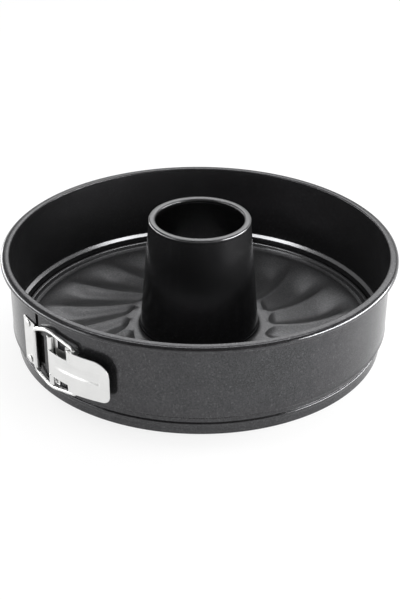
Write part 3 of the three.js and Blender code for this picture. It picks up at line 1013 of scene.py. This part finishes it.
def basePlate():
    profile = plateProfile()
    data = bpy.data.meshes.new("plateProfile")
    data.from_pydata([(radius * mm, 0, height * mm) for radius, height in profile], [], [])
    outline = bpy.data.objects.new("plateProfile", data)
    scene.collection.objects.link(outline)
    sizes = ["Flute Start", "Flute End", "Nose Length", "Tail Length", "Flute Share", "Trough Depth",
             "Trough Shape", "Scoop Slope", "Scoop Lean", "Bank Curve", "Flute Sweep", "Flute Bend",
             "Flute Phase"]
    counts = ["Rings", "Flute Count", "Flute Stations", "Land Stations"]
    tree, given = geometryTree("pressedPlate", {
        "Profile": "Object", **{name: "Float" for name in sizes}, **{name: "Int" for name in counts},
        "Material": "Material",
    })
    perFlute = given["Flute Stations"] + given["Land Stations"]
    columns = perFlute * given["Flute Count"]
    grid = tree.add("GeometryNodeMeshGrid", None, {
        "Size X": 1.0, "Size Y": 1.0, "Vertices X": columns + 1, "Vertices Y": given["Rings"],
    })
    spot = tree.add("ShaderNodeSeparateXYZ", None, [tree.add("GeometryNodeInputPosition")])
    column = ((spot.out("X") + 0.5) * columns).do("ROUND")
    ring = ((spot.out("Y") + 0.5) * (given["Rings"] - 1)).do("ROUND")
    station = tree.add("GeometryNodeSampleIndex", {"data_type": "FLOAT_VECTOR", "domain": "POINT"}, {
        "Geometry": tree.add("GeometryNodeObjectInfo", None, {"Object": given["Profile"]}).out("Geometry"),
        "Value": tree.add("GeometryNodeInputPosition"),
        "Index": ring,
    })
    traced = tree.add("ShaderNodeSeparateXYZ", None, [station])
    radius, height = traced.out("X"), traced.out("Z")
    flute = (column / perFlute).do("FLOOR")
    local = column - flute * perFlute
    across = (local / given["Flute Stations"] * 2 - 1).do("MINIMUM", 1.0)
    overLand = ((local - given["Flute Stations"]) / given["Land Stations"]).do("MAXIMUM", 0.0)
    length = given["Flute End"] - given["Flute Start"]
    along = ((radius - given["Flute Start"]) / length).between(0.0, 1.0)
    fromNose = ((radius - given["Flute Start"]) / given["Nose Length"]).between(0.0, 1.0)
    fromTail = ((given["Flute End"] - radius) / given["Tail Length"]).between(0.0, 1.0)
    spread = (fromNose * (2 - fromNose)).do("SQRT")
    fade = fromTail * fromTail * (3 - 2 * fromTail)
    pitch = 2 * math.pi / given["Flute Count"]
    plain = pitch / 2 * given["Flute Stations"] / perFlute
    pressed = (spread * fade).do("GREATER_THAN", 0.0001)  # elsewhere the columns keep their plain spacing
    halfAngle = plain + pressed * (spread * given["Flute Share"] * pitch / 2 - plain)
    sweep = given["Flute Phase"] + given["Flute Sweep"] * along ** given["Flute Bend"]
    turn = flute * pitch + sweep + across * halfAngle + overLand * (pitch - 2 * halfAngle)
    trough = (4 * along * (1 - along)) ** given["Trough Shape"]
    scoop = given["Scoop Slope"] * halfAngle * radius / 2 * spread * fade
    lean = given["Scoop Lean"]
    bank = ((across - lean) / (1 - lean)).do("MAXIMUM", (lean - across) / (1 + lean)).between(0.0, 1.0)
    drop = given["Trough Depth"] * trough + scoop * (1 - bank ** given["Bank Curve"])
    place = tree.add("ShaderNodeCombineXYZ", None, [
        radius * turn.do("COSINE"), radius * turn.do("SINE"), height - drop,
    ])
    shaped = tree.add("GeometryNodeSetPosition", None, {"Geometry": grid, "Position": place})
    weldGap = plate["weldGap"] * mm
    closed = tree.add("GeometryNodeMergeByDistance", None, {"Geometry": shaped, "Distance": weldGap})
    smooth = tree.add("GeometryNodeSetShadeSmooth", None, {"Geometry": closed, "Shade Smooth": True})
    finishTree(tree, smooth, given["Material"])
    made = grown("basePlate", tree, {
        "Profile": outline,
        "Flute Start": plate["fluteStart"] * mm,
        "Flute End": plate["fluteEnd"] * mm,
        "Nose Length": plate["noseLength"] * mm,
        "Tail Length": plate["tailLength"] * mm,
        "Flute Share": plate["fluteShare"],
        "Trough Depth": plate["troughDepth"] * mm,
        "Trough Shape": plate["troughShape"],
        "Scoop Slope": plate["scoopSlope"],
        "Scoop Lean": plate["scoopLean"],
        "Bank Curve": plate["bankCurve"],
        "Flute Sweep": math.radians(plate["fluteSweep"]),
        "Flute Bend": plate["fluteBend"],
        "Flute Phase": math.radians(plate["flutePhase"]),
        "Rings": len(profile),
        "Flute Count": plate["fluteCount"],
        "Flute Stations": plate["fluteStations"],
        "Land Stations": plate["landStations"],
        "Material": baseCoat,
    })
    made.data.set_sharp_from_angle(angle=math.radians(pressedCrease))
    return made


# Centre tube

tube = {
    "sheet": 0.7,
    "footRadius": 41.9,
    "topRadius": 34.8,
    "flangeTop": 6.9,
    "beadWidth": 4.6,
    "beadDepth": 3.2,
    "beadRound": 1.4,
    "beadUnder": 1.2,
    "collarProud": 0.15,
    "taperInset": 0.6,
    "collarHeight": 2.6,
    "seatGap": 0.3,
    "columns": 192,
}


def centreTube():
    sheet, top = tube["sheet"], tubeHigh.z
    foot, mouth = tube["footRadius"], tube["topRadius"]
    flange = (tubeHigh.y - tubeLow.y) / 2
    flangeTop = tube["flangeTop"]
    inner = mouth - tube["beadWidth"]
    beadFoot = top - tube["beadDepth"]
    collar, collarFoot = foot + tube["collarProud"], plate["landHeight"] + tube["seatGap"]
    taperFoot, taperLow = foot - tube["taperInset"], collarFoot + tube["collarHeight"]
    profile = roundedLoop([
        (flange, flangeTop - sheet, 0.2),
        (flange, flangeTop, 0.2),
        (foot, flangeTop, 0.3),
        (foot, collarFoot, 0.05),
        (collar, collarFoot, 0.3),
        (collar, collarFoot + tube["collarHeight"] / 2, 0.7),
        (taperFoot, taperLow, 1.0),
        (mouth, beadFoot, 0.8),
        (mouth, top, tube["beadRound"]),
        (inner, top, tube["beadRound"]),
        (inner, beadFoot, 0.9),
        (mouth - sheet, beadFoot - tube["beadUnder"], 0.6),
        (taperFoot - sheet, taperLow, 1.0),
        (foot - sheet, plate["landHeight"], 0.3),
        (foot - sheet, flangeTop - sheet, 0.4),
    ], 6)
    return turned("centreTube", profile, tube["columns"], tubeCoat)


# Hinge pin

pin = {"radius": 1.1, "round": 0.35, "columns": 24}


def hingePin():
    profile = roundedLoop([
        (0, pinLow.z, 0), (pin["radius"], pinLow.z, pin["round"]),
        (pin["radius"], pinHigh.z, pin["round"]), (0, pinHigh.z, 0),
    ], 4)
    made = turned("hingePin", profile, pin["columns"], tinplate)
    made.data.transform(Matrix.Translation((hinge.x * mm, hinge.y * mm, 0)))
    return made


# Pieces on their bodies

settle(joinedPiece("sideBand", [sideBand(), seamTongue()]), "band", "coated_band", "side_band")
settle(basePlate(), "base", "coated_base", "base_plate")
settle(centreTube(), "base", "coated_base", "centre_tube")
settle(catchPlate(), "band", "tinned_steel", "catch_plate")
settle(leverBracket(), "band", "tinned_steel", "lever_bracket")
settle(hingePin(), "band", "tinned_steel", "hinge_pin")
settle(rivets(), "band", "tinned_steel", "catch_rivet_upper", "catch_rivet_lower",
       "bracket_rivet_upper", "bracket_rivet_lower")
settle(joinedPiece("closingLever", [
    leverPlate(),
    leverEar("upperEar", leverHigh.z - lever["sheet"], leverHigh.z),
    leverEar("lowerEar", leverLow.z, leverLow.z + lever["sheet"]),
]), "lever", "tinned_steel", "lever")
settle(wireBail(), "bail", "tinned_steel", "wire_bail")


# Camera, floor and light

view = {
    "azimuth": 52.3,
    "elevation": 30.97,
    "distance": 859.4,
    "lens": 72.49,
    "roll": 0.37,
    "shiftX": 0.0014,
    "shiftY": 0.0492,
}
studio = {
    "floorSize": 8000.0,
    "floorDrop": 0.3,
    "floorColour": (0.93, 0.93, 0.93, 1),
    "floorGlow": 0.8,
    "underPan": 90.0,
    "underFade": 30.0,
    "skyLevel": 0.36,
    "horizonTop": 0.1,
    "ceilingFade": 0.3,
    "ceilingLevel": 0.18,
    "frontLevel": 0.25,
    "frontSharp": 2.0,
}
lamps = {  # places and aims are square to the camera: right, away, up
    "leftLow": {"place": (-470, 150, 100), "aim": (-205, 40, 0), "size": (560, 110), "watts": 1.8},
    "leftStrip": {"place": (-420, -190, 110), "aim": (-190, -20, 30), "size": (220, 140), "watts": 0.35},
    "rightLow": {"place": (470, -90, 100), "aim": (220, -60, 0), "size": (560, 110), "watts": 5.4},
    "topSoftbox": {"place": (0, 30, 1300), "aim": (0, 20, 0), "size": (1800, 320), "watts": 8.0},
    "backSoftbox": {"place": (200, 1000, 1000), "aim": (0, 0, 0), "size": (1300, 900), "watts": 9.5},
}


def direction(azimuth, elevation):
    turn, rise = math.radians(azimuth), math.radians(elevation)
    return Vector((math.sin(turn) * math.cos(rise), -math.cos(turn) * math.cos(rise), math.sin(rise)))


def aimed(back, roll=0.0):  # a turn that looks back along a direction
    side = Vector((0, 0, 1)).cross(back).normalized()
    up = back.cross(side)
    turn = math.radians(roll)
    tilted = side * math.cos(turn) + up * math.sin(turn)
    return Matrix((tilted, back.cross(tilted), back)).transposed().to_4x4()


cameraData = bpy.data.cameras.new("camera")
cameraData.lens = view["lens"]
cameraData.shift_x, cameraData.shift_y = view["shiftX"], view["shiftY"]
camera = bpy.data.objects.new("camera", cameraData)
back = direction(view["azimuth"], view["elevation"])
camera.matrix_world = Matrix.Translation(back * view["distance"] * mm) @ aimed(back, view["roll"])
scene.collection.objects.link(camera)
scene.camera = camera

toView = Matrix.Rotation(math.radians(view["azimuth"]), 4, "Z")
for name, lamp in lamps.items():
    data = bpy.data.lights.new(name, "AREA")
    data.shape, data.energy = "RECTANGLE", lamp["watts"]
    data.size, data.size_y = (side * mm for side in lamp["size"])
    placed = bpy.data.objects.new(name, data)
    place, aim = (toView @ Vector(lamp[end]) * mm for end in ("place", "aim"))
    placed.matrix_world = Matrix.Translation(place) @ aimed((place - aim).normalized())
    scene.collection.objects.link(placed)


def floorMaterial():
    material, tree = newMaterial("paleFloor")
    seen = tree.add("ShaderNodeLightPath")
    shown = (seen.out("Is Camera Ray") + seen.out("Is Glossy Ray")).do("MINIMUM", 1.0)
    place = tree.add("ShaderNodeTexCoord").out("Object")
    reach = tree.add("ShaderNodeVectorMath", {"operation": "LENGTH"}, [place]) / mm
    clear = ((reach - studio["underPan"]) / studio["underFade"]).between(0.0, 1.0)
    matt = tree.add("ShaderNodeBsdfDiffuse", None, {"Color": studio["floorColour"]})
    glow = tree.add("ShaderNodeEmission", None, {"Color": (1, 1, 1, 1), "Strength": 1.0})
    surface = tree.add("ShaderNodeMixShader", None, [shown * clear * studio["floorGlow"], matt, glow])
    tree.add("ShaderNodeOutputMaterial", None, {"Surface": surface})
    return material


half = studio["floorSize"] / 2
corners = [(-half, -half), (half, -half), (half, half), (-half, half)]
floorMesh = bpy.data.meshes.new("floor")
places = [Vector((*spot, -studio["floorDrop"])) * mm for spot in corners]
floorMesh.from_pydata(places, [], [range(4)])
floorMesh.materials.append(floorMaterial())
floor = bpy.data.objects.new("floor", floorMesh)
scene.collection.objects.link(floor)

world = bpy.data.worlds.new("studioSky")
world.use_nodes = True
world.node_tree.nodes.clear()
sky = Tree(world.node_tree)
rays = sky.add("ShaderNodeLightPath")
mirrored = (rays.out("Is Glossy Ray") + rays.out("Is Transmission Ray")).do("MINIMUM", 1.0)
ray = sky.add("ShaderNodeSeparateXYZ", None, [sky.add("ShaderNodeTexCoord").out("Generated")])
overhead = ((ray.out("Z") - studio["horizonTop"]) / studio["ceilingFade"]).between(0.0, 1.0)
front = direction(view["azimuth"], 0)
towards = ray.out("X") * front.x + ray.out("Y") * front.y
facing = (towards * studio["frontSharp"]).between(0.0, 1.0)
room = (1 - overhead * (1 - studio["ceilingLevel"])) * (1 - facing * (1 - studio["frontLevel"]))
seen = rays.out("Is Camera Ray")
level = seen + (1 - seen) * (mirrored * room + (1 - mirrored) * studio["skyLevel"])
backdrop = sky.add("ShaderNodeBackground", None, {"Color": (1, 1, 1, 1), "Strength": level})
sky.add("ShaderNodeOutputWorld", None, {"Surface": backdrop})
scene.world = world
scene.view_settings.view_transform = "Standard"
print("camera, floor and light set")
